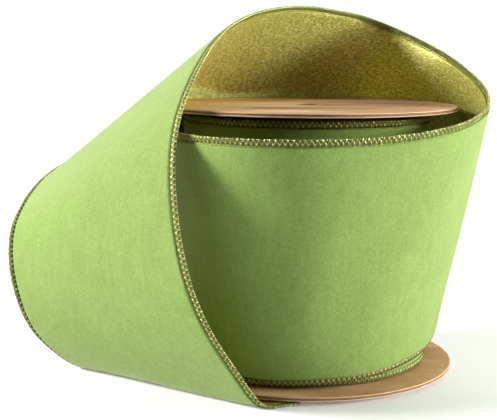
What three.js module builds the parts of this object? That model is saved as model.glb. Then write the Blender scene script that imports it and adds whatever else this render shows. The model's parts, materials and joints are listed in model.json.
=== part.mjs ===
// Ribbon spool: a wide wired ribbon, velvet outside and metallic gold inside, on a board spool that stands
// on its flange. About one and a half turns have come off the roll. They run round the front, rise behind
// the spool, bend over and fall in a large loop that lies on the table, and the ribbon's end is caught under
// the flange, so the spool leans back by about a degree.
//
// Millimetres, +Z up. Everything is laid out with the table at z = 0 and the foot of the spool's axis at
// x = y = 0. At the end the whole group is moved so that its origin is the middle of the foot of its box.

import * as THREE from 'three';

// ---------------------------------------------------------------- driving dimensions

const flangeRadius = 63.5; // 5 inch board disc
const flangeThickness = 1.8;
const rodHoleRadius = 4.4;
const flangeSpacing = 109; // from the top face of one flange to the top face of the other
const coreRadius = 19;
const coreWall = 2.5;
const rollRadius = 52.1; // outside of the wound ribbon
const ribbonWidth = 101.8; // between the middles of the two stitched edges, 4 inches
const stitchWidth = 2.6; // the stitching that wraps over each edge, across the ribbon
const stitchThickness = 1.8;
const stitchWall = 0.45;
const wireRadius = 0.22;
const velvetThickness = 0.7;
const backingThickness = 0.4;
const wireSides = 6;
const gap = 0.3; // kept between pieces that touch
const rollDrop = 0.6; // how far the roll has settled towards the lower flange
const tableClearance = 0.02; // under the stretch that lies on the table
const leanAngle = 1.1; // degrees, how far the ribbon's end under the flange tips the spool
const leanTowards = 45; // degrees, the side of the rim that stays on the table

const roundSteps = 48; // facets round the spool
const looseSteps = 62; // steps along the loose ribbon
const clothColumns = 3; // facets across its cloth

// ---------------------------------------------------------------- derived sizes

const rollMiddle = (flangeSpacing - flangeThickness) / 2 - rollDrop; // height of the ribbon's centre line
const edgeOffset = ribbonWidth / 2;
const fabricHalfWidth = edgeOffset - stitchWidth / 2 - gap;
const stitchHalfThickness = stitchThickness / 2;
const velvetInner = stitchHalfThickness - velvetThickness; // the pile stands level with the stitching
const backingOuter = velvetInner - gap;
const tailHeight = stitchHalfThickness + tableClearance; // middle of the ribbon on the table

// Guide points of the loose ribbon, in pairs: one for the edge that is on top round the front, and one for
// the edge that is at the bottom there. The pairs are 5 to 26 mm apart along its middle, and both edges
// are smooth B-spline curves drawn by their guide points.
const looseGuides = [
  // leaves the roll at the back left, and comes forward close round the left side
  [[-37, 40, 107], [-38.5, 38.5, 5.5]],
  [[-52.5, 25.5, 106.5], [-54, 15.5, 6]],
  [[-60, 3.5, 106], [-57, -9, 6.5]],
  [[-60, -18.5, 105], [-44.5, -34.5, 6.5]],
  [[-53.5, -40, 104], [-26.5, -50, 6.5]],
  // round the front, leaning out at the top
  [[-39.5, -70.5, 104], [-10.5, -53.5, 6]],
  [[-2, -86.5, 104], [-1, -55, 7]],
  [[32.5, -73, 103.5], [11, -53.5, 7]],
  [[58.5, -56, 106.5], [27, -49.5, 8]],
  [[67.5, -40.5, 109], [49.5, -28.5, 11]],
  // up the right side and behind the spool
  [[76, -23.5, 112.5], [57.5, -1, 15.5]],
  [[76.5, 5, 120], [59, 16, 18.5]],
  [[64, 37, 131.5], [55, 27.5, 20.5]],
  [[53.5, 48.5, 137], [36.5, 49, 33.5]],
  [[46, 55.5, 141], [8.5, 69, 47]],
  [[36, 61.5, 145.5], [-22, 81.5, 61]],
  // over the top, towards the left
  [[24.5, 58.5, 149.5], [-56.5, 76, 74]],
  [[16.5, 51.5, 150.5], [-86, 55, 79.5]],
  [[-0.5, 40, 154], [-108, 39.5, 83]],
  [[-24, 9, 150.5], [-111.5, 30, 81]],
  [[-36, -18.5, 140], [-117.5, 16.5, 76.5]],
  // down the front left in a wide loop
  [[-42.5, -43, 125.5], [-122, 0.5, 68]],
  [[-49, -67, 105], [-124.5, -11, 58]],
  [[-46, -79.5, 70.5], [-123.5, -16, 44]],
  [[-40, -80.5, 45.5], [-121, -16, 32]],
  [[-31.5, -76.5, 27.5], [-118, -16, 22]],
  [[-23.5, -71.5, 14], [-112, -16, 13]],
  [[-18, -68, 3.5], [-103.5, -15.5, 5.5]],
  // along the table, and under the edge of the flange
  [[-14, -67, tailHeight], [-96.5, -15.5, tailHeight]],
  [[-9, -65, tailHeight], [-90, -13, tailHeight]],
  [[-1, -60, tailHeight], [-83.5, -9.5, tailHeight]],
];

// ---------------------------------------------------------------- materials

function material(color, roughness, metalness) {
  return new THREE.MeshStandardMaterial({ color, roughness, metalness });
}

const kraftBoard = () => material(0xc9a679, 0.85, 0);
const greyBoard = () => material(0x9a8a74, 0.9, 0);
const velvet = () => material(0x7fb04c, 0.95, 0);
const goldCloth = () => material(0xa39a4a, 0.4, 0.6);
const stitching = () => material(0xb9b45a, 0.5, 0.3);
const wire = () => material(0x9c9c98, 0.35, 1);

// ---------------------------------------------------------------- pieces of the spool

// A ring round the spool's axis, from a closed outline of [radius, height] points that runs anticlockwise.
function ring(name, outline, look) {
  const points = [...outline, outline[0]].map(([r, z]) => new THREE.Vector2(r, z));
  const geometry = new THREE.LatheGeometry(points, roundSteps);
  geometry.rotateX(Math.PI / 2);
  return named(name, geometry, look);
}

// A ring of rectangular section.
function tube(name, innerRadius, outerRadius, bottom, top, look) {
  const outline = [[innerRadius, bottom], [outerRadius, bottom], [outerRadius, top], [innerRadius, top]];
  return ring(name, outline, look);
}

function named(name, geometry, look) {
  const mesh = new THREE.Mesh(geometry, look);
  mesh.name = name;
  return mesh;
}

function flange(name, topFace) {
  return tube(name, rodHoleRadius, flangeRadius, topFace - flangeThickness, topFace, kraftBoard());
}

function coreTube() {
  const top = flangeSpacing - flangeThickness - gap;
  return tube('core_tube', coreRadius - coreWall, coreRadius, gap, top, greyBoard());
}

// The turns of fabric in the roll, as rings: the inner turns in one, the outermost turn in its two layers.
function woundFabric() {
  const bottom = rollMiddle - fabricHalfWidth;
  const top = rollMiddle + fabricHalfWidth;
  const velvetRadius = rollRadius - velvetThickness;
  const backingRadius = velvetRadius - gap;
  const turnsRadius = backingRadius - backingThickness - gap;
  return [
    tube('wound_inner_turns', coreRadius + gap, turnsRadius, bottom, top, velvet()),
    tube('wound_gold_backing', backingRadius - backingThickness, backingRadius, bottom, top, goldCloth()),
    tube('wound_velvet_face', velvetRadius, rollRadius, bottom, top, velvet()),
  ];
}

// The stitched edges of all the turns together, side = 1 at the top of the roll and -1 at the bottom. A slot
// on the fabric's side holds the wire of the outermost turn.
function woundStitching(name, side) {
  const middle = rollMiddle + side * edgeOffset;
  const fabricSide = middle - side * stitchWidth / 2;
  const outerSide = middle + side * stitchWidth / 2;
  const slotEnd = middle + side * (stitchWidth / 2 - stitchWall);
  const slotOuter = rollRadius - stitchWall;
  const slotInner = slotOuter - (stitchThickness - 2 * stitchWall);
  const outline = [
    [coreRadius + gap, fabricSide],
    [slotInner, fabricSide],
    [slotInner, slotEnd],
    [slotOuter, slotEnd],
    [slotOuter, fabricSide],
    [rollRadius, fabricSide],
    [rollRadius, outerSide],
    [coreRadius + gap, outerSide],
  ];
  if (side < 0) outline.reverse();
  return ring(name, outline, stitching());
}

function woundWire(name, side) {
  const turnRadius = rollRadius - stitchHalfThickness;
  const geometry = new THREE.TorusGeometry(turnRadius, wireRadius, wireSides, roundSteps);
  geometry.translate(0, 0, rollMiddle + side * edgeOffset);
  return named(name, geometry, wire());
}

// ---------------------------------------------------------------- pieces of the loose ribbon

// Point at 0..1 along a B-spline whose guide points are evenly spaced. Past both ends the guide points go on
// in a straight line, so the curve starts and ends on its own end points.
function alongGuides(points, t) {
  const last = points.length - 1;
  const place = t * last;
  const k = Math.min(Math.floor(place), last - 1);
  const f = place - k;
  const weights = [
    (1 - f) ** 3 / 6,
    (3 * f ** 3 - 6 * f ** 2 + 4) / 6,
    (-3 * f ** 3 + 3 * f ** 2 + 3 * f + 1) / 6,
    f ** 3 / 6,
  ];
  const result = new THREE.Vector3();
  weights.forEach((weight, i) => result.addScaledVector(guideAt(points, k - 1 + i), weight));
  return result;
}

function guideAt(points, i) {
  const last = points.length - 1;
  if (i < 0) return points[0].clone().multiplyScalar(2).sub(points[1]);
  if (i > last) return points[last].clone().multiplyScalar(2).sub(points[last - 1]);
  return points[i];
}

const topEdge = looseGuides.map(([top]) => new THREE.Vector3(...top));
const bottomEdge = looseGuides.map(([, bottom]) => new THREE.Vector3(...bottom));

// Point on the middle sheet of the loose ribbon: t is 0..1 along it, across is in mm from its centre line.
function onSheet(t, across) {
  const share = 0.5 + across / ribbonWidth;
  return alongGuides(bottomEdge, t).lerp(alongGuides(topEdge, t), share);
}

// A point off the sheet by a height towards the velvet side.
function offSheet(t, across, height) {
  const nearby = 0.002;
  const before = onSheet(Math.max(t - nearby, 0), across);
  const after = onSheet(Math.min(t + nearby, 1), across);
  const alongRibbon = after.sub(before);
  const acrossRibbon = onSheet(t, edgeOffset).sub(onSheet(t, -edgeOffset));
  const outward = alongRibbon.cross(acrossRibbon).normalize();
  return onSheet(t, across).addScaledVector(outward, height);
}

// Lays a straight strip along the loose ribbon. In the strip, x is the place across the ribbon, y the height
// above the middle sheet and z runs from 0 to 1 along it.
function layAlong(name, geometry, look) {
  const position = geometry.attributes.position;
  for (let i = 0; i < position.count; i += 1) {
    const place = offSheet(position.getZ(i), position.getX(i), position.getY(i));
    position.setXYZ(i, place.x, place.y, place.z);
  }
  geometry.computeVertexNormals();
  return named(name, geometry, look);
}

// A layer of cloth between two heights above the middle sheet. Both its faces are split along the same
// diagonals, so layers that lie on each other keep their distance where the ribbon twists.
function looseCloth(name, lower, upper, look) {
  const places = [];
  for (let step = 0; step <= looseSteps; step += 1) {
    for (let column = 0; column <= clothColumns; column += 1) {
      const across = fabricHalfWidth * (2 * column / clothColumns - 1);
      places.push(offSheet(step / looseSteps, across, lower));
      places.push(offSheet(step / looseSteps, across, upper));
    }
  }
  const low = (step, column) => 2 * (step * (clothColumns + 1) + column);
  const up = (step, column) => low(step, column) + 1;
  const triangles = [];
  const quad = (a, b, c, d) => triangles.push(a, b, c, a, c, d);
  for (let s = 0; s < looseSteps; s += 1) {
    for (let c = 0; c < clothColumns; c += 1) {
      quad(up(s, c), up(s + 1, c), up(s + 1, c + 1), up(s, c + 1));
      quad(low(s + 1, c + 1), low(s + 1, c), low(s, c), low(s, c + 1));
    }
    quad(low(s, 0), low(s + 1, 0), up(s + 1, 0), up(s, 0));
    quad(up(s, clothColumns), up(s + 1, clothColumns), low(s + 1, clothColumns), low(s, clothColumns));
  }
  for (let c = 0; c < clothColumns; c += 1) {
    quad(low(0, c), up(0, c), up(0, c + 1), low(0, c + 1));
    quad(low(looseSteps, c + 1), up(looseSteps, c + 1), up(looseSteps, c), low(looseSteps, c));
  }
  const geometry = new THREE.BufferGeometry().setFromPoints(places);
  geometry.setIndex(triangles);
  geometry.computeVertexNormals();
  return named(name, geometry, look);
}

// A strip of any section, given as [across, height] points.
function looseStrip(name, outline, look) {
  const section = new THREE.Shape(outline.map(([x, y]) => new THREE.Vector2(x, y)));
  const geometry = new THREE.ExtrudeGeometry(section, { depth: 1, steps: looseSteps, bevelEnabled: false });
  return layAlong(name, geometry, look);
}

// The stitching over one edge: a U that opens towards the fabric, with the wire inside it.
function looseStitching(name, side) {
  const half = stitchWidth / 2;
  const slot = stitchHalfThickness - stitchWall;
  const outline = [
    [-half, slot],
    [half - stitchWall, slot],
    [half - stitchWall, -slot],
    [-half, -slot],
    [-half, -stitchHalfThickness],
    [half, -stitchHalfThickness],
    [half, stitchHalfThickness],
    [-half, stitchHalfThickness],
  ];
  const placed = outline.map(([across, height]) => [side * (edgeOffset + across), height]);
  return looseStrip(name, placed, stitching());
}

function looseWire(name, side) {
  const corners = Array.from({ length: wireSides }, (_, i) => {
    const angle = (2 * Math.PI * i) / wireSides;
    return [side * edgeOffset + wireRadius * Math.cos(angle), wireRadius * Math.sin(angle)];
  });
  return looseStrip(name, corners, wire());
}

// ---------------------------------------------------------------- assembly

function spool() {
  const group = new THREE.Group();
  group.add(
    flange('bottom_flange', 0),
    flange('top_flange', flangeSpacing),
    coreTube(),
    ...woundFabric(),
    woundStitching('wound_top_stitching', 1),
    woundStitching('wound_bottom_stitching', -1),
    woundWire('wound_top_wire', 1),
    woundWire('wound_bottom_wire', -1),
  );
  // The spool tips about the lowest point of its rim.
  const lean = THREE.MathUtils.degToRad(leanAngle);
  const towards = THREE.MathUtils.degToRad(leanTowards);
  const axis = new THREE.Vector3(
    Math.sin(lean) * Math.cos(towards),
    Math.sin(lean) * Math.sin(towards),
    Math.cos(lean),
  );
  group.quaternion.setFromUnitVectors(new THREE.Vector3(0, 0, 1), axis);
  group.position.z = flangeRadius * Math.sin(lean) + flangeThickness * Math.cos(lean);
  return group;
}

function looseRibbon() {
  const group = new THREE.Group();
  group.add(
    looseCloth('loose_velvet_face', velvetInner, stitchHalfThickness, velvet()),
    looseCloth('loose_gold_backing', backingOuter - backingThickness, backingOuter, goldCloth()),
    looseStitching('loose_top_stitching', 1),
    looseStitching('loose_bottom_stitching', -1),
    looseWire('loose_top_wire', 1),
    looseWire('loose_bottom_wire', -1),
  );
  return group;
}

const part = new THREE.Group();
part.add(spool(), looseRibbon());
part.updateMatrixWorld(true);

const box = new THREE.Box3().setFromObject(part, true);
const middle = box.getCenter(new THREE.Vector3());
part.position.set(-middle.x, -middle.y, -box.min.z);

export default part;
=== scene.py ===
"""Ribbon spool: the looks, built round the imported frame.

A wide wired ribbon, velvet outside and crinkled metallic gold inside, on a kraft board spool. About one and
a third turns have come off the roll, stand up behind it and fall in a large loop to the table.

Metres, +Z up, in the row's own frame. Lengths written in millimetres are multiplied by MM.
"""

import json
import math

import bpy
import numpy as np
from mathutils import Matrix, Vector


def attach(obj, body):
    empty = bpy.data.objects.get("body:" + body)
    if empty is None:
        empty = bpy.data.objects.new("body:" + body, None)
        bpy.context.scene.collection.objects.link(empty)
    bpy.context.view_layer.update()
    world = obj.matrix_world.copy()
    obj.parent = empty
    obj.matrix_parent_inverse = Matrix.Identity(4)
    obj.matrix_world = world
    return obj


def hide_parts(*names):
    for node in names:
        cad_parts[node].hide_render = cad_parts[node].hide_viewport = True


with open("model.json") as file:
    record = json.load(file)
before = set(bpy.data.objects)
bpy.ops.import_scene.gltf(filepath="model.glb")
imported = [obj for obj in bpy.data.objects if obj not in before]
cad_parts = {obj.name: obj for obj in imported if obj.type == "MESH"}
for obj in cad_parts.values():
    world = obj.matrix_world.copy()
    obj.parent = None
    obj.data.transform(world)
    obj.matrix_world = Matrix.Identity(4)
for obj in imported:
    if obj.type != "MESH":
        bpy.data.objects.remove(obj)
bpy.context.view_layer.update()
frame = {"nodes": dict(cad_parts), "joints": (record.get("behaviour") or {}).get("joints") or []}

MM = 0.001

# ---------------------------------------------------------------- driving dimensions, as in the CAD part

FLANGE_RADIUS = 63.5 * MM
FLANGE_THICKNESS = 1.8 * MM
ROD_HOLE_RADIUS = 4.4 * MM
FLANGE_SPACING = 109 * MM  # from the top face of one flange to the top face of the other
CORE_RADIUS = 19 * MM
ROLL_RADIUS = 52.1 * MM
RIBBON_WIDTH = 101.8 * MM  # between the middles of the two stitched edges
ROLL_MIDDLE = 53.0 * MM  # height of the wound ribbon's centre line above the lower flange
STITCH_WIDTH = 2.6 * MM
STITCH_HALF_THICKNESS = 0.9 * MM
WIRE_RADIUS = 0.22 * MM
WIRE_STEP = 1.5 * MM
WIRE_SIDES = 6
CLOTH_HALF_WIDTH = 49.3 * MM  # the cloth, up to the stitching
VELVET_HEIGHTS = (0.2 * MM, 0.9 * MM)  # below and above, from the ribbon's middle sheet
BACKING_HEIGHTS = (-0.5 * MM, -0.1 * MM)
HEM_VELVET_HEIGHTS = (0.04 * MM, 0.14 * MM)  # the same, where they are pressed flat inside the stitching
HEM_BACKING_HEIGHTS = (-0.14 * MM, -0.04 * MM)
TAIL_HEIGHT = 0.92  # mm, middle of the ribbon where it lies on the table
TABLE_CLEARANCE = 0.02 * MM  # the tail's pile and threads are squeezed up to this height over the table

# The spool's own frame: its origin is the middle of the lower flange's top face, and its z is the axis that
# the spool turns on, which leans by about a degree.
turn = frame["joints"][0]
spool_foot = Vector(turn["pos_m"])
spool_axis = Vector(turn["axis"]).normalized()
lean = Vector((0, 0, 1)).rotation_difference(spool_axis)
SPOOL = Matrix.Translation(spool_foot) @ lean.to_matrix().to_4x4()

# ---------------------------------------------------------------- camera

SENSOR_WIDTH = 36
LENS = 84.0  # mm on that sensor: a short telephoto view
CAMERA_DISTANCE = 494.5 * MM  # in the spool's frame, in front of its axis
CAMERA_HEIGHT = 136 * MM
CAMERA_DOWN = math.radians(8.36)
CAMERA_LEFT = math.radians(2.82)
CAMERA_ROLL = math.radians(0.33)


def make_camera():
    data = bpy.data.cameras.new("camera")
    data.sensor_fit = "HORIZONTAL"
    data.sensor_width = SENSOR_WIDTH
    data.lens = LENS
    data.clip_start = 0.01
    data.clip_end = 20
    camera = bpy.data.objects.new("camera", data)
    bpy.context.scene.collection.objects.link(camera)
    look = (
        Matrix.Rotation(CAMERA_LEFT, 4, "Z")
        @ Matrix.Rotation(math.pi / 2 - CAMERA_DOWN, 4, "X")
        @ Matrix.Rotation(CAMERA_ROLL, 4, "Z")
    )
    place = Matrix.Translation((0, -CAMERA_DISTANCE, CAMERA_HEIGHT))
    camera.matrix_world = SPOOL @ place @ look
    bpy.context.scene.camera = camera


make_camera()

# ---------------------------------------------------------------- meshes


def make_object(name, vertices, faces, materials, face_slots=None, smooth=True):
    """A mesh object from an array of vertices, in metres, in the row's frame, and a list of faces."""
    mesh = bpy.data.meshes.new(name)
    mesh.from_pydata(np.asarray(vertices, float).tolist(), [], faces)
    for look in materials:
        mesh.materials.append(look)
    if face_slots is not None:
        mesh.polygons.foreach_set("material_index", np.asarray(face_slots, np.int32))
    mesh.polygons.foreach_set("use_smooth", np.full(len(mesh.polygons), smooth))
    mesh.update()
    piece = bpy.data.objects.new(name, mesh)
    bpy.context.scene.collection.objects.link(piece)
    return piece


def grid_faces(rows, columns, start=0, wrap_rows=False, wrap_columns=False):
    """Quads of a grid of vertices that is stored row by row."""
    last_row = rows if wrap_rows else rows - 1
    last_column = columns if wrap_columns else columns - 1
    i, j = np.meshgrid(np.arange(last_row), np.arange(last_column), indexing="ij")
    here = i * columns + j
    along = (i + 1) % rows * columns + j
    both = (i + 1) % rows * columns + (j + 1) % columns
    beside = i * columns + (j + 1) % columns
    return start + np.stack([here, along, both, beside], -1).reshape(-1, 4)


def in_spool(points):
    """Points of the spool's own frame, in the row's frame."""
    matrix = np.array(SPOOL)
    return np.asarray(points, float) @ matrix[:3, :3].T + matrix[:3, 3]


def over_table(points):
    """The points, with those that would sink into the table lifted to just over it."""
    points[:, 2] = np.maximum(points[:, 2], TABLE_CLEARANCE)
    return points


def unit(vectors):
    return vectors / np.linalg.norm(vectors, axis=-1, keepdims=True)


def revolve(name, outline, steps, materials, slots=None, wobble=None):
    """A closed outline of (radius, height), anticlockwise, turned round the spool's axis."""
    outline = np.asarray(outline, float)
    angle = np.linspace(0, 2 * math.pi, steps, endpoint=False)
    radius = outline[None, :, 0] + np.zeros((steps, 1))
    height = outline[None, :, 1] + np.zeros((steps, 1))
    if wobble:
        radius, height = wobble(angle[:, None], radius, height)
    points = np.stack([radius * np.cos(angle)[:, None], radius * np.sin(angle)[:, None], height], -1)
    faces = grid_faces(steps, len(outline), wrap_rows=True, wrap_columns=True).tolist()
    face_slots = None if slots is None else np.tile(slots, steps)
    return make_object(name, in_spool(points.reshape(-1, 3)), faces, materials, face_slots)


def capped(rings):
    """Vertices and faces of a tube through rings of points, with a cap at each end."""
    count, sides = rings.shape[:2]
    faces = grid_faces(count, sides, wrap_columns=True).tolist()
    last_ring = (count - 1) * sides
    faces += [list(range(sides))[::-1], list(range(last_ring, last_ring + sides))]
    return rings.reshape(-1, 3), faces


def tube(points, towards, radius, sides):
    """A capped tube along points. towards is a direction at each point, not along the tube."""
    tangent = unit(np.gradient(points, axis=0))
    side = unit(np.cross(tangent, towards))
    up = np.cross(side, tangent)
    angle = np.linspace(0, 2 * math.pi, sides, endpoint=False)[None, :, None]
    radius = np.broadcast_to(np.asarray(radius, float), (len(points),))[:, None, None]
    ring = np.cos(angle) * side[:, None] + np.sin(angle) * up[:, None]
    return capped(points[:, None] + radius * ring)


class Parts:
    """Collects several meshes into one object, each with its own material slot."""

    def __init__(self):
        self.vertices, self.faces, self.slots = [], [], []
        self.count = 0

    def add(self, mesh, slot):
        vertices, faces = mesh
        self.vertices.append(vertices)
        self.faces += [[v + self.count for v in face] for face in faces]
        self.slots += [slot] * len(faces)
        self.count += len(vertices)

    def make(self, name, materials):
        vertices = over_table(np.vstack(self.vertices))
        return make_object(name, vertices, self.faces, materials, self.slots)


# ---------------------------------------------------------------- material nodes


class Look:
    """A material with a Principled shader, and short ways to add the nodes that drive it."""

    def __init__(self, name, **sockets):
        self.material = bpy.data.materials.new(name)
        self.material.use_nodes = True
        self.nodes = self.material.node_tree.nodes
        self.links = self.material.node_tree.links
        self.shader = self.nodes["Principled BSDF"]
        for socket, value in sockets.items():
            self.shader.inputs[socket.replace("_", " ")].default_value = value

    def link(self, a, b):
        self.links.new(a, b)

    def coordinates(self, scale=(1, 1, 1), turn=(0, 0, 0)):
        place = self.nodes.new("ShaderNodeTexCoord")
        mapping = self.nodes.new("ShaderNodeMapping")
        mapping.inputs["Scale"].default_value = scale
        mapping.inputs["Rotation"].default_value = turn
        self.link(place.outputs["Object"], mapping.inputs["Vector"])
        return mapping.outputs["Vector"]

    def noise(self, vector, scale, detail=2.0, roughness=0.5, distortion=0.0):
        node = self.nodes.new("ShaderNodeTexNoise")
        node.inputs["Scale"].default_value = scale
        node.inputs["Detail"].default_value = detail
        node.inputs["Roughness"].default_value = roughness
        node.inputs["Distortion"].default_value = distortion
        self.link(vector, node.inputs["Vector"])
        return node.outputs["Fac"]

    def voronoi(self, vector, scale):
        node = self.nodes.new("ShaderNodeTexVoronoi")
        node.inputs["Scale"].default_value = scale
        self.link(vector, node.inputs["Vector"])
        return node.outputs["Distance"]

    def ramp(self, factor, stops):
        """stops are (place, (r, g, b)) or (place, grey)."""
        node = self.nodes.new("ShaderNodeValToRGB")
        elements = node.color_ramp.elements
        while len(elements) < len(stops):
            elements.new(0.5)
        for element, (place, colour) in zip(elements, stops):
            element.position = place
            element.color = (*colour, 1) if hasattr(colour, "__len__") else (colour, colour, colour, 1)
        self.link(factor, node.inputs["Fac"])
        return node.outputs["Color"]

    def mix(self, factor, a, b):
        """a and b are colours or sockets, factor is a number or a socket."""
        node = self.nodes.new("ShaderNodeMix")
        node.data_type = "RGBA"
        for socket, value in ((node.inputs[0], factor), (node.inputs[6], a), (node.inputs[7], b)):
            if isinstance(value, bpy.types.NodeSocket):
                self.link(value, socket)
            elif hasattr(value, "__len__"):
                socket.default_value = (*value, 1)
            else:
                socket.default_value = value
        return node.outputs[2]

    def math(self, operation, a, b=0.0):
        node = self.nodes.new("ShaderNodeMath")
        node.operation = operation
        for socket, value in zip(node.inputs, (a, b)):
            if isinstance(value, bpy.types.NodeSocket):
                self.link(value, socket)
            else:
                socket.default_value = value
        return node.outputs[0]

    def bump(self, height, strength, distance, under=None):
        node = self.nodes.new("ShaderNodeBump")
        node.inputs["Strength"].default_value = strength
        node.inputs["Distance"].default_value = distance
        self.link(height, node.inputs["Height"])
        if under is not None:
            self.link(under, node.inputs["Normal"])
        return node.outputs["Normal"]

    def set(self, socket, value):
        self.link(value, self.shader.inputs[socket])


def srgb(code):
    """Linear colour from a hex code such as 7b9b45."""
    channels = [int(code[i : i + 2], 16) / 255 for i in (0, 2, 4)]
    return tuple(c / 12.92 if c <= 0.04045 else ((c + 0.055) / 1.055) ** 2.4 for c in channels)


def velvet_look(name):
    look = Look(
        name,
        Roughness=0.95,
        Sheen_Weight=0.55,
        Sheen_Roughness=0.35,
        Sheen_Tint=(1.0, 0.92, 0.7, 1),
        Specular_IOR_Level=0.1,
    )
    place = look.coordinates()
    patches = look.noise(place, 55, 3.0, 0.55, 0.4)
    streaks = look.noise(look.coordinates((1, 1, 0.12)), 520, 3.0, 0.6)
    pile = look.noise(place, 1250, 3.0, 0.7)
    tips = look.noise(place, 3200, 2.0, 0.6)
    body = look.ramp(patches, [(0.3, srgb("718943")), (0.7, srgb("7c954d"))])
    body = look.mix(0.25, body, look.ramp(streaks, [(0.35, srgb("647c38")), (0.68, srgb("8ea560"))]))
    grain = look.ramp(pile, [(0.3, srgb("566d2f")), (0.72, srgb("98af66"))])
    look.set("Base Color", look.mix(0.35, body, grain))
    soft = look.bump(patches, 0.1, 0.5 * MM)
    mid = look.bump(pile, 0.5, 0.22 * MM, soft)
    look.set("Normal", look.bump(tips, 0.4, 0.1 * MM, mid))
    return look.material


def gold_look(name):
    look = Look(name, Metallic=0.5, Specular_IOR_Level=0.7)
    place = look.coordinates()
    broad = look.noise(place, 30, 3.0, 0.5, 0.3)
    creases = look.noise(look.coordinates((0.6, 0.6, 1.35)), 1050, 2.0, 0.5)
    cells = look.voronoi(look.coordinates((0.7, 0.7, 1.3), (0.3, 0, 0.4)), 950)
    grain = look.noise(place, 2100, 2.0, 0.5)
    colour = look.ramp(creases, [(0.32, srgb("96903a")), (0.52, srgb("c8c460")), (0.72, srgb("f2f0a0"))])
    look.set("Base Color", look.mix(look.math("MULTIPLY", broad, 0.3), colour, srgb("c8c468")))
    look.set("Roughness", look.math("ADD", look.math("MULTIPLY", grain, 0.16), 0.3))
    fold = look.bump(broad, 0.1, 0.8 * MM)
    cell = look.bump(cells, 0.45, 0.2 * MM, fold)
    crease = look.bump(creases, 0.8, 0.24 * MM, cell)
    look.set("Normal", look.bump(grain, 0.4, 0.09 * MM, crease))
    return look.material


def lurex_look(name, dark, mid, light, metallic=0.55):
    """Shiny metallic thread."""
    look = Look(name, Metallic=metallic, Roughness=0.34)
    place = look.coordinates()
    strands = look.noise(look.coordinates((1, 1, 2.2), (0.5, 0.3, 0)), 2600, 3.0, 0.6)
    glints = look.noise(place, 420, 2.0, 0.5)
    colour = look.ramp(strands, [(0.25, dark), (0.5, mid), (0.75, light)])
    look.set("Base Color", look.mix(look.math("MULTIPLY", glints, 0.5), colour, light))
    look.set("Normal", look.bump(strands, 0.6, 0.12 * MM))
    return look.material


def core_cord_look(name):
    """The dark body of an edge, seen between its threads. Where it covers the inner turns' edges, it is also
    painted shade.
    """
    look = Look(name, Roughness=0.8, Metallic=0.1)
    fuzz = look.noise(look.coordinates(), 1800, 3.0, 0.6)
    look.set("Base Color", look.ramp(fuzz, [(0.3, srgb("333a0c")), (0.7, srgb("6f7426"))]))
    look.set("Normal", look.bump(fuzz, 0.5, 0.1 * MM))
    return look.material


def kraft_look(name, fibre_turn, pale, mid, dark, red):
    look = Look(name, Roughness=0.62, Specular_IOR_Level=0.4)
    streaks = look.noise(look.coordinates((22, 75, 30), (0, 0, fibre_turn)), 1.0, 4.0, 0.6, 0.5)
    tints = look.noise(look.coordinates((14, 60, 30), (0, 0, fibre_turn + 0.1)), 1.3, 2.0, 0.5, 0.3)
    fibres = look.noise(look.coordinates((0.12, 1, 1), (0, 0, fibre_turn)), 2400, 3.0, 0.7)
    colour = look.ramp(streaks, [(0.36, dark), (0.5, mid), (0.64, pale)])
    colour = look.mix(look.ramp(tints, [(0.45, 0.0), (0.7, 0.55)]), colour, red)
    look.set("Base Color", look.mix(0.2, colour, look.ramp(fibres, [(0.35, dark), (0.65, pale)])))
    look.set("Normal", look.bump(fibres, 0.35, 0.06 * MM, look.bump(streaks, 0.15, 0.1 * MM)))
    return look.material


def board_edge_look(name, dark, light):
    """Cut edge of the board: plies that run round the rim."""
    look = Look(name, Roughness=0.9)
    plies = look.noise(look.coordinates((1, 1, 14)), 160, 3.0, 0.6)
    look.set("Base Color", look.ramp(plies, [(0.3, dark), (0.7, light)]))
    look.set("Normal", look.bump(plies, 0.4, 0.12 * MM))
    return look.material


def wire_look(name):
    look = Look(name, Metallic=1.0, Roughness=0.35)
    wear = look.noise(look.coordinates(), 900, 2.0)
    look.set("Base Color", look.ramp(wear, [(0.3, srgb("8d8d89")), (0.7, srgb("b4b4ae"))]))
    return look.material


def floor_look(name):
    """Pale, with a faint glow of its own everywhere, which brightens the floor and lights the object a
    little from below, rising to a white glow far behind the object, so that it meets the sweep there without
    a line.
    """
    look = Look(name, Roughness=0.95, Specular_IOR_Level=0.1)
    place = look.coordinates()
    tone = look.noise(place, 6, 2.0)
    look.set("Base Color", look.ramp(tone, [(0.3, (0.78, 0.78, 0.78)), (0.7, (0.8, 0.8, 0.8))]))
    split = look.nodes.new("ShaderNodeSeparateXYZ")
    look.link(place, split.inputs[0])
    far = look.math("MULTIPLY", split.outputs["Y"], 0.5)
    look.shader.inputs["Emission Color"].default_value = (1, 1, 1, 1)
    look.set("Emission Strength", look.ramp(far, [(0.12, 0.12), (0.7, 1.0)]))
    return look.material


velvet = velvet_look("velvet_pile")
gold = gold_look("gold_crinkle")
thread = lurex_look("lurex_thread", srgb("6f7322"), srgb("bdbe68"), srgb("f2f0bc"), 0.7)
seam_thread = lurex_look("seam_thread", srgb("343c0a"), srgb("666d22"), srgb("a9ab55"), 0.4)
# Dark cord colour of the edges' bodies, also used as painted shade over the whole of the inner turns' edges
edge_core_and_painted_shade = core_cord_look("edge_core_and_painted_shade")
upper_kraft = kraft_look("upper_kraft", 0.12, srgb("d9b88c"), srgb("c09a6b"), srgb("9c7044"), srgb("a9663f"))
lower_kraft = kraft_look("lower_kraft", 0.5, srgb("d2b083"), srgb("bd9363"), srgb("a57a49"), srgb("b07c4c"))
board_edge = board_edge_look("board_edge", srgb("6a4a30"), srgb("8c6845"))
paper_edge = board_edge_look("paper_edge", srgb("b99a78"), srgb("dcc5ab"))
grey_board = board_edge_look("grey_board", srgb("7f7262"), srgb("a3967f"))
wire = wire_look("soft_wire")

# ---------------------------------------------------------------- the loose ribbon's path

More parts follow.
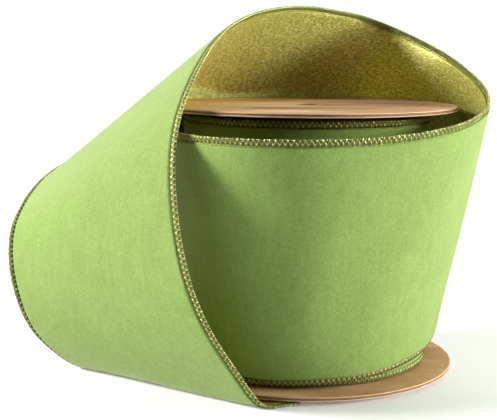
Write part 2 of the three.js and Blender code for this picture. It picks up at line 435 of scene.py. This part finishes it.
# Guide points of the loose ribbon in millimetres, from the foot of the spool's axis, as in the CAD part.
# Each pair is one for the edge that is on top round the front, and one for the edge at the bottom there.
LOOSE_GUIDES = [
    # leaves the roll at the back left, and comes forward close round the left side
    [[-37, 40, 107], [-38.5, 38.5, 5.5]],
    [[-52.5, 25.5, 106.5], [-54, 15.5, 6]],
    [[-60, 3.5, 106], [-57, -9, 6.5]],
    [[-60, -18.5, 105], [-44.5, -34.5, 6.5]],
    [[-53.5, -40, 104], [-26.5, -50, 6.5]],
    # round the front, leaning out at the top
    [[-39.5, -70.5, 104], [-10.5, -53.5, 6]],
    [[-2, -86.5, 104], [-1, -55, 7]],
    [[32.5, -73, 103.5], [11, -53.5, 7]],
    [[58.5, -56, 106.5], [27, -49.5, 8]],
    [[67.5, -40.5, 109], [49.5, -28.5, 11]],
    # up the right side and behind the spool
    [[76, -23.5, 112.5], [57.5, -1, 15.5]],
    [[76.5, 5, 120], [59, 16, 18.5]],
    [[64, 37, 131.5], [55, 27.5, 20.5]],
    [[53.5, 48.5, 137], [36.5, 49, 33.5]],
    [[46, 55.5, 141], [8.5, 69, 47]],
    [[36, 61.5, 145.5], [-22, 81.5, 61]],
    # over the top, towards the left
    [[24.5, 58.5, 149.5], [-56.5, 76, 74]],
    [[16.5, 51.5, 150.5], [-86, 55, 79.5]],
    [[-0.5, 40, 154], [-108, 39.5, 83]],
    [[-24, 9, 150.5], [-111.5, 30, 81]],
    [[-36, -18.5, 140], [-117.5, 16.5, 76.5]],
    # down the front left in a wide loop
    [[-42.5, -43, 125.5], [-122, 0.5, 68]],
    [[-49, -67, 105], [-124.5, -11, 58]],
    [[-46, -79.5, 70.5], [-123.5, -16, 44]],
    [[-40, -80.5, 45.5], [-121, -16, 32]],
    [[-31.5, -76.5, 27.5], [-118, -16, 22]],
    [[-23.5, -71.5, 14], [-112, -16, 13]],
    [[-18, -68, 3.5], [-103.5, -15.5, 5.5]],
    # along the table, and under the edge of the flange
    [[-14, -67, TAIL_HEIGHT], [-96.5, -15.5, TAIL_HEIGHT]],
    [[-9, -65, TAIL_HEIGHT], [-90, -13, TAIL_HEIGHT]],
    [[-1, -60, TAIL_HEIGHT], [-83.5, -9.5, TAIL_HEIGHT]],
]


def along_guides(points, t):
    """Points at 0..1 along the B-spline of the guide points, with straight ends, as in the CAD part."""
    points = np.asarray(points, float)
    padded = np.vstack([2 * points[0] - points[1], points, 2 * points[-1] - points[-2]])
    place = np.asarray(t) * (len(points) - 1)
    k = np.minimum(place.astype(int), len(points) - 2)
    f = (place - k)[:, None]
    weights = (
        (1 - f) ** 3 / 6,
        (3 * f**3 - 6 * f**2 + 4) / 6,
        (-3 * f**3 + 3 * f**2 + 3 * f + 1) / 6,
        f**3 / 6,
    )
    return sum(weight * padded[k + i] for i, weight in enumerate(weights))


EDGE_CURL = math.radians(38)
# places along the ribbon, and shares of the curl there
CURL_PLACES = ((0.58, 0.66, 0.9, 0.96), (0, 1, 1, 0))


def off_the_roll(end, end_direction, edge_height):
    """The edge's path on the roll, before the ribbon leaves it: it comes out from just under the surface."""
    start_angle = math.radians(92)
    under_surface = 1.1 * MM
    steps = 40
    radius = ROLL_RADIUS - under_surface
    start = in_spool([[radius * math.cos(start_angle), radius * math.sin(start_angle), edge_height]])[0]
    origin = in_spool([[0, 0, 0]])[0]
    turned = in_spool([[-math.sin(start_angle), math.cos(start_angle), 0]])[0] - origin
    reach = np.linalg.norm(end - start) * 1.04
    f = np.linspace(0, 1, steps, endpoint=False)[:, None]
    return (
        (2 * f**3 - 3 * f**2 + 1) * start
        + (f**3 - 2 * f**2 + f) * reach * turned
        + (-2 * f**3 + 3 * f**2) * end
        + (f**3 - f**2) * reach * end_direction
    )


class Ribbon:
    """The middle sheet of the loose ribbon, by distance along it."""

    def __init__(self):
        samples = 3000
        t = np.linspace(0, 1, samples)
        foot = np.array([spool_foot.x, spool_foot.y, 0])
        rails = []
        half_width = RIBBON_WIDTH / 2
        for side, edge_height in ((0, ROLL_MIDDLE + half_width), (1, ROLL_MIDDLE - half_width)):
            rail = along_guides([pair[side] for pair in LOOSE_GUIDES], t) * MM + foot
            before = off_the_roll(rail[0], unit(rail[1] - rail[0]), edge_height)
            rails.append(np.vstack([before, rail]))
        self.top, self.bottom = rails
        steps = [np.linalg.norm(np.diff(rail, axis=0), axis=1) for rail in rails]
        self.place = np.concatenate([[0], np.cumsum((steps[0] + steps[1]) / 2)])
        self.length = self.place[-1]
        self.top_place = np.concatenate([[0], np.cumsum(steps[0])])
        self.bottom_place = np.concatenate([[0], np.cumsum(steps[1])])

    def read(self, rail, places):
        return np.stack([np.interp(places, self.place, rail[:, k]) for k in range(3)], -1)

    def frames(self, places, across):
        """Points on the middle sheet, with the directions along, across and outward from it."""
        share = (0.5 + np.asarray(across) / RIBBON_WIDTH)[..., None]
        nearby = 0.8 * MM
        top, bottom = self.read(self.top, places), self.read(self.bottom, places)
        ahead = np.minimum(places + nearby, self.length)
        behind = np.maximum(places - nearby, 0)
        top_step = self.read(self.top, ahead) - self.read(self.top, behind)
        bottom_step = self.read(self.bottom, ahead) - self.read(self.bottom, behind)
        along = unit(top_step * share + bottom_step * (1 - share))
        over = unit(top - bottom)
        outward = unit(np.cross(along, over))
        return top * share + bottom * (1 - share), along, over, outward

    def at(self, places, across, height):
        """Points off the middle sheet by a height towards the velvet side."""
        point, _, _, outward = self.frames(places, across)
        return point + outward * (np.asarray(height) + cloth_wave(places, across))[..., None]

    def edge(self, side, places):
        """Frames along one edge, at distances along that edge."""
        own = self.top_place if side > 0 else self.bottom_place
        middle = np.interp(places, own, self.place)
        across = np.full(len(middle), side * RIBBON_WIDTH / 2)
        point, along, _, outward = self.frames(middle, across)
        out = unit(np.cross(outward, along)) * side
        if side > 0:
            return point, along, out, outward
        # The lower edge curls up to the velvet side where the loop stands out on the left.
        tilt = EDGE_CURL * np.interp(middle / self.length, *CURL_PLACES)[:, None]
        hinge = point - out * (STITCH_WIDTH / 2)
        curled = out * np.cos(tilt) + outward * np.sin(tilt)
        raised = outward * np.cos(tilt) - out * np.sin(tilt)
        return hinge + curled * (STITCH_WIDTH / 2), along, curled, raised

    def edge_length(self, side):
        return (self.top_place if side > 0 else self.bottom_place)[-1]


def cloth_wave(places, across):
    """Slight waves of the cloth between its wired edges, dying out towards the stitching."""
    share = np.clip(1 - (np.abs(across) / CLOTH_HALF_WIDTH) ** 4, 0, 1)
    slow = 0.28 * MM * np.sin(places / (21 * MM) + across / (34 * MM))
    quick = 0.12 * MM * np.sin(places / (7.3 * MM) - across / (15 * MM) + 1.3)
    return share * (slow + quick)


ribbon = Ribbon()

# ---------------------------------------------------------------- cloth of the loose ribbon

CLOTH_STEP = 1.8 * MM
HEM = 0.9 * MM  # cloth that is hidden inside the stitching


def cloth_columns():
    """Places across the cloth, closer together near the stitching."""
    in_hem = [-HEM, -0.6 * HEM, -0.25 * HEM]
    from_hem = np.array(in_hem + [0, 0.2 * MM, 0.5 * MM, 1.1 * MM, 2.0 * MM, 3.2 * MM])
    inner = np.linspace(-1, 1, 23)[1:-1] * (CLOTH_HALF_WIDTH - 3.4 * MM)
    return np.concatenate([-CLOTH_HALF_WIDTH + from_hem, inner, CLOTH_HALF_WIDTH - from_hem[::-1]])


def cloth_layer(name, lower, upper, look):
    """A closed layer of cloth. lower and upper give heights off the middle sheet for places across it."""
    columns = cloth_columns()
    rows = np.linspace(0, ribbon.length, int(ribbon.length / CLOTH_STEP))
    places, across = (a.ravel() for a in np.meshgrid(rows, columns, indexing="ij"))
    above = ribbon.at(places, across, upper(across))
    below = ribbon.at(places, across, lower(across))
    n_rows, n_columns = len(rows), len(columns)
    count = n_rows * n_columns
    faces = grid_faces(n_rows, n_columns).tolist()
    faces += grid_faces(n_rows, n_columns, count)[:, ::-1].tolist()
    rim = [i * n_columns for i in range(n_rows)]
    rim += [(n_rows - 1) * n_columns + j for j in range(1, n_columns)]
    rim += [i * n_columns + n_columns - 1 for i in range(n_rows - 2, -1, -1)]
    rim += [j for j in range(n_columns - 2, 0, -1)]
    for a, b in zip(rim, rim[1:] + rim[:1]):
        faces.append([b, a, a + count, b + count])
    return make_object(name, over_table(np.vstack([above, below])), faces, [look])


def under_hem(across):
    """0 on the open cloth, rising to 1 where it is pressed flat inside the stitching."""
    past_edge = np.abs(across) - CLOTH_HALF_WIDTH
    return np.clip(0.75 + past_edge / (0.7 * MM), 0, 1)


def pressed(height, flat):
    """A height off the middle sheet that closes to flat under the stitching."""
    return lambda across: height + (flat - height) * under_hem(across)


def make_loose_cloth():
    lower, upper = map(pressed, VELVET_HEIGHTS, HEM_VELVET_HEIGHTS)
    velvet_face = cloth_layer("loose_velvet", lower, upper, velvet)
    lower, upper = map(pressed, BACKING_HEIGHTS, HEM_BACKING_HEIGHTS)
    backing = cloth_layer("loose_gold_lining", lower, upper, gold)
    for piece, node, slot in (
        (velvet_face, "loose_velvet_face", "velvet"),
        (backing, "loose_gold_backing", "gold_cloth"),
    ):
        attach(piece, "loose_ribbon")
        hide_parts(node)


make_loose_cloth()

# ---------------------------------------------------------------- stitched edges

STITCH_PITCH = 2.1 * MM
POINTS_PER_STITCH = 10
THREAD_SIDES = 5
THREAD_RADIUS = 0.3 * MM
WRAP_HALF_WIDTH = STITCH_WIDTH / 2 - THREAD_RADIUS
WRAP_HALF_THICKNESS = STITCH_HALF_THICKNESS - THREAD_RADIUS
CORE_SHARE = 0.86  # the dark body inside the wraps, as a share of their half thickness
BODY_SIDES = 8
BODY_STRIDE = 4  # one ring of the body for this many stations of the thread
BODY_SQUARENESS = 0.75  # 1 would be an ellipse, and less is squarer
BODY_INWARD = 0.1 * MM  # how far the body sits towards the cloth


def zigzag(phase):
    """A triangle wave with rounded corners, from -1 to 1."""
    pointed = np.arcsin(0.96 * np.sin(phase)) / math.asin(0.96)
    return 0.4 * pointed + 0.6 * np.sin(phase)


def wrap_thread(frames, phase, face, radius=1.0):
    """A thread that zigzags over one face of an edge, from the cloth to just round the outer rim. face is 1
    for the velvet side and -1 for the lining side. It is plump where it turns back and sinks in between, so
    that two rows of beads show."""
    point, along, out, outward = frames
    middle = math.radians(80)
    swing = math.radians(86)
    sunk, rise = 0.68, 0.42  # shares of the edge's half size: in between, and added where it turns back
    thin, swell = 0.4, 0.84  # the same for the thread's thickness
    turn_back = np.sin(phase) ** 2
    angle = face * (middle + swing * zigzag(phase))
    direction = np.cos(angle)[:, None] * out * WRAP_HALF_WIDTH
    direction = direction + np.sin(angle)[:, None] * outward * WRAP_HALF_THICKNESS
    direction = direction * (sunk + rise * turn_back)[:, None]
    uneven = 1 + 0.16 * np.sin(phase * 0.37 + 1) * np.sin(phase * 0.23)
    thickness = radius * THREAD_RADIUS * (thin + swell * turn_back) * uneven
    slant = 0.16 * STITCH_PITCH * np.sin(2 * phase + 0.6) * radius
    return tube(point + direction + along * slant[:, None], unit(direction), thickness, THREAD_SIDES)


def binding_thread(frames, phase, face):
    """A finer thread that crosses the wraps, half a stitch behind them."""
    point, _, out, outward = frames
    angle = face * math.radians(90) * (1 - 0.82 * zigzag(phase))
    direction = np.cos(angle)[:, None] * out * WRAP_HALF_WIDTH
    direction = (direction + np.sin(angle)[:, None] * outward * WRAP_HALF_THICKNESS) * 0.99
    return tube(point + direction, unit(direction), 0.55 * THREAD_RADIUS, 4)


def seam_line(frames, phase, face):
    """The line of small stitches that holds the wraps to the cloth: it dips once a stitch."""
    point, _, out, outward = frames
    cloth_face = 0.62 * MM if face > 0 else 0.5 * MM
    height = cloth_face + 0.16 * MM * np.cos(phase) + 0.05 * MM
    inward = -(STITCH_WIDTH / 2 + 0.22 * MM)
    points = point + out * inward + outward * (face * height)[:, None]
    return tube(points[::2], outward[::2], 0.19 * MM, 4)


def edge_body(frames):
    """The dark cord that the threads wrap: an oval tube with somewhat flat sides."""
    point, _, out, outward = (a[::BODY_STRIDE] for a in frames)
    angle = np.linspace(0, 2 * math.pi, BODY_SIDES, endpoint=False)[None, :, None]
    wide, thick = 1.12 * WRAP_HALF_WIDTH, CORE_SHARE * WRAP_HALF_THICKNESS
    x, y = (np.sign(a) * np.abs(a) ** BODY_SQUARENESS for a in (np.cos(angle), np.sin(angle)))
    across = (x * wide - BODY_INWARD) * out[:, None]
    return capped(point[:, None] + across + y * thick * outward[:, None])


def stitched_edge(name, edge, length, body, node):
    """The body and all the threads of one edge. edge gives frames at distances along it."""
    stitches = round(length / STITCH_PITCH)
    parts = Parts()

    def stations(per_stitch):
        places = np.linspace(0, length, stitches * per_stitch + 1)
        phase = places / length * stitches * 2 * math.pi
        return edge(places), phase + 0.35 * np.sin(phase / 7.3) + 0.25 * np.sin(phase / 3.1 + 2)

    frames, phase = stations(POINTS_PER_STITCH)
    parts.add(edge_body(frames), 0)
    parts.add(wrap_thread(frames, phase, 1), 1)
    parts.add(binding_thread(frames, phase + math.pi, 1), 2)
    for face in (1, -1):
        parts.add(seam_line(frames, phase, face), 2)
    frames, phase = stations(2 * POINTS_PER_STITCH - 4)
    parts.add(wrap_thread(frames, 2 * phase, -1, 0.75), 1)
    piece = parts.make(name, [edge_core_and_painted_shade, thread, seam_thread])
    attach(piece, body)
    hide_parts(node)


def edge_wire(name, edge, length, node):
    """The soft wire that stiffens an edge, inside its threads."""
    point, _, _, outward = edge(np.linspace(0, length, int(length / WIRE_STEP)))
    piece = make_object(name, *tube(point, outward, WIRE_RADIUS, WIRE_SIDES), [wire])
    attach(piece, "loose_ribbon")
    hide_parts(node)


def make_loose_edges():
    for side, word in ((1, "top"), (-1, "bottom")):
        stitched_edge(
            f"loose_{word}_edge_threads",
            lambda places, side=side: ribbon.edge(side, places),
            ribbon.edge_length(side),
            "loose_ribbon",
            f"loose_{word}_stitching",
        )
        edge_wire(
            f"loose_{word}_edge_wire",
            lambda places, side=side: ribbon.edge(side, places),
            ribbon.edge_length(side),
            f"loose_{word}_wire",
        )


make_loose_edges()

# ---------------------------------------------------------------- the roll

ROUND_STEPS = 192
INNER_STEPS = 96
TURN_PITCH = 1.75 * MM  # from one wound turn's edge to the next


def wound_edge(side):
    """Frames round the outermost turn's edge, side = 1 at the top of the roll and -1 at its foot."""
    radius = ROLL_RADIUS - STITCH_HALF_THICKNESS
    height = ROLL_MIDDLE + side * RIBBON_WIDTH / 2

    def frames(places):
        angle = places / radius
        cos, sin, zero = np.cos(angle), np.sin(angle), 0 * angle
        origin = in_spool([[0, 0, 0]])[0]
        point = in_spool(np.stack([radius * cos, radius * sin, zero + height], -1))
        along = in_spool(np.stack([-sin, cos, zero], -1)) - origin
        out = in_spool(np.stack([zero, zero, zero + side], -1)) - origin
        outward = in_spool(np.stack([cos, sin, zero], -1)) - origin
        return point, along, out, outward

    return frames, 2 * math.pi * radius


def inner_turn_edges(side):
    """Outline of the inner turns' stitched edges: one rounded ridge for each turn."""
    middle = ROLL_MIDDLE + side * RIBBON_WIDTH / 2
    cloth_side = middle - side * STITCH_WIDTH / 2
    inner = CORE_RADIUS + 0.3 * MM
    outer = ROLL_RADIUS - 2 * STITCH_HALF_THICKNESS - 0.1 * MM
    turns = int((outer - inner) / TURN_PITCH)
    across = np.linspace(0, 1, turns * 6 + 1)
    ridge = np.abs(np.sin(across * turns * math.pi)) ** 0.6
    crest = middle + side * (STITCH_WIDTH / 2 - 0.9 * MM + 0.85 * MM * ridge)
    radius = outer + (inner - outer) * across
    outline = np.vstack([[[inner, cloth_side], [outer, cloth_side]], np.stack([radius, crest], -1)])
    return outline if side > 0 else outline[::-1]


def make_roll():
    reach = CLOTH_HALF_WIDTH
    low, high = ROLL_MIDDLE - reach, ROLL_MIDDLE + reach
    inner = ROLL_RADIUS - (VELVET_HEIGHTS[1] - VELVET_HEIGHTS[0])
    between = np.linspace(0, 1, 25)[1:-1]
    shoulder = 0.4 * MM
    outline = [[inner, high], [inner, low]]
    outline += [[ROLL_RADIUS - shoulder, low], [ROLL_RADIUS, low + 2 * shoulder]]
    outline += [[ROLL_RADIUS, low + 2 * shoulder + f * (high - low - 4 * shoulder)] for f in between]
    outline += [[ROLL_RADIUS, high - 2 * shoulder], [ROLL_RADIUS - shoulder, high]]

    def wobble(angle, radius, height):
        waves = 0.1 * MM * np.sin(3 * angle + height / (26 * MM))
        waves = waves + 0.05 * MM * np.sin(8 * angle - height / (9 * MM))
        return radius + np.where(radius > inner + 0.1 * MM, waves - 0.08 * MM, 0), height

    skin = revolve("wound_velvet", outline, ROUND_STEPS, [velvet], wobble=wobble)
    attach(skin, "spool")
    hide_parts("wound_velvet_face")
    for side, word in ((1, "top"), (-1, "bottom")):
        edge, length = wound_edge(side)
        stitched_edge(f"wound_{word}_edge_threads", edge, length, "spool", f"wound_{word}_stitching")
        ridges = inner_turn_edges(side)
        # The inner turns' edges get the dark cord look all over, not their threads: painted shade between
        # the turns under the flange
        inner_turns = revolve(f"wound_{word}_inner_turn_edges", ridges, INNER_STEPS, [edge_core_and_painted_shade])
        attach(inner_turns, "spool")


make_roll()

# ---------------------------------------------------------------- flanges


def flange_outline(top_face):
    """Board disc with a paper face on each side, softly rounded rims, and a pressed lip at the rod hole."""
    foot = top_face - FLANGE_THICKNESS
    paper = 0.4 * MM
    soft = 0.14 * MM
    recess = 0.06 * MM
    rim, hole = FLANGE_RADIUS, ROD_HOLE_RADIUS
    outline = [
        [hole + 0.05 * MM, foot + soft],
        [hole + 0.45 * MM, foot],
        [rim * 0.5, foot],
        [rim - 3 * soft, foot],
        [rim - soft, foot + 0.2 * soft],
        [rim, foot + soft],
        [rim, foot + paper],
        [rim - recess, foot + paper + 0.05 * MM],
        [rim - recess, top_face - paper - 0.05 * MM],
        [rim, top_face - paper],
        [rim, top_face - soft],
        [rim - soft, top_face - 0.2 * soft],
        [rim - 3 * soft, top_face],
        [rim * 0.5, top_face],
        [hole + 0.45 * MM, top_face],
        [hole + 0.05 * MM, top_face - soft],
        [hole, top_face - 2 * soft],
        [hole, foot + 2 * soft],
    ]
    face, paper_rim, board = 0, 1, 2
    slots = [face] * 5 + [paper_rim, paper_rim, board, paper_rim, paper_rim] + [face] * 5 + [board] * 3
    return outline, slots


def make_flange(name, node, top_face, face_look):
    outline, slots = flange_outline(top_face)

    def wobble(angle, radius, height):
        rough = 0.03 * MM * (np.sin(23 * angle) + np.sin(57 * angle + height / (0.3 * MM)))
        return np.where(radius > FLANGE_RADIUS * 0.99, radius + rough - 0.03 * MM, radius), height

    disc = revolve(name, outline, ROUND_STEPS, [face_look, paper_edge, board_edge], slots, wobble)
    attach(disc, "spool")
    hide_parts(node)


make_flange("upper_flange_board", "top_flange", FLANGE_SPACING, upper_kraft)
make_flange("lower_flange_board", "bottom_flange", 0.0, lower_kraft)

# ---------------------------------------------------------------- carried-over CAD nodes


def repaint(node, look):
    mesh = frame["nodes"][node].data
    mesh.materials.clear()
    mesh.materials.append(look)


for node, look in (
    ("core_tube", grey_board),
    ("wound_inner_turns", velvet),
    ("wound_gold_backing", gold),
    ("wound_top_wire", wire),
    ("wound_bottom_wire", wire),
):
    repaint(node, look)

# ---------------------------------------------------------------- floor and light


def make_floor():
    half = 12.0
    corners = [[x, y, 0] for x, y in ((-half, -half), (half, -half), (half, half), (-half, half))]
    floor = make_object("floor", corners, [[0, 1, 2, 3]], [floor_look("pale_floor")], smooth=False)


def area_light(name, place, target, size, power):
    data = bpy.data.lights.new(name, "AREA")
    data.shape = "RECTANGLE"
    data.size, data.size_y = size
    data.energy = power
    light = bpy.data.objects.new(name, data)
    bpy.context.scene.collection.objects.link(light)
    aim = (Vector(target) - Vector(place)).to_track_quat("-Z", "Y").to_matrix().to_4x4()
    light.matrix_world = Matrix.Translation(place) @ aim


def make_world():
    """A white sweep behind the object, dimmer above, and a dim room in front of it."""
    world = bpy.data.worlds.new("studio")
    world.use_nodes = True
    nodes, links = world.node_tree.nodes, world.node_tree.links
    direction = nodes.new("ShaderNodeTexCoord")
    split = nodes.new("ShaderNodeSeparateXYZ")
    links.new(direction.outputs["Generated"], split.inputs["Vector"])

    def fade(axis, first, second):
        """A grey that goes from first to second, pairs of (place, grey), with a direction's Y or Z."""
        ramp = nodes.new("ShaderNodeValToRGB")
        for element, (place, grey) in zip(ramp.color_ramp.elements, (first, second)):
            element.position, element.color = place, (grey, grey, grey, 1)
        links.new(split.outputs[axis], ramp.inputs["Fac"])
        return ramp.outputs["Color"]

    sweep = nodes.new("ShaderNodeMix")
    sweep.data_type, sweep.blend_type = "RGBA", "MULTIPLY"
    sweep.inputs[0].default_value = 1.0
    links.new(fade("Z", (0.14, 1.05), (0.3, 0.05)), sweep.inputs[6])
    links.new(fade("Y", (0.0, 0.06), (0.4, 1.0)), sweep.inputs[7])
    links.new(sweep.outputs[2], nodes["Background"].inputs["Color"])
    bpy.context.scene.world = world


def make_lights():
    """Soft lamps at the right and the left, and a weak one above. Powers are in watts."""
    middle = (0, 0, 0.08)
    area_light("right", (1.18, -0.14, 0.26), middle, (0.45, 0.45), 30)
    area_light("left", (-1.15, -0.05, 0.52), middle, (0.5, 0.5), 37)
    area_light("above", (0.25, 0.35, 1.2), middle, (0.6, 0.6), 6)
    bpy.context.scene.view_settings.view_transform = "Standard"


make_floor()
make_world()
make_lights()
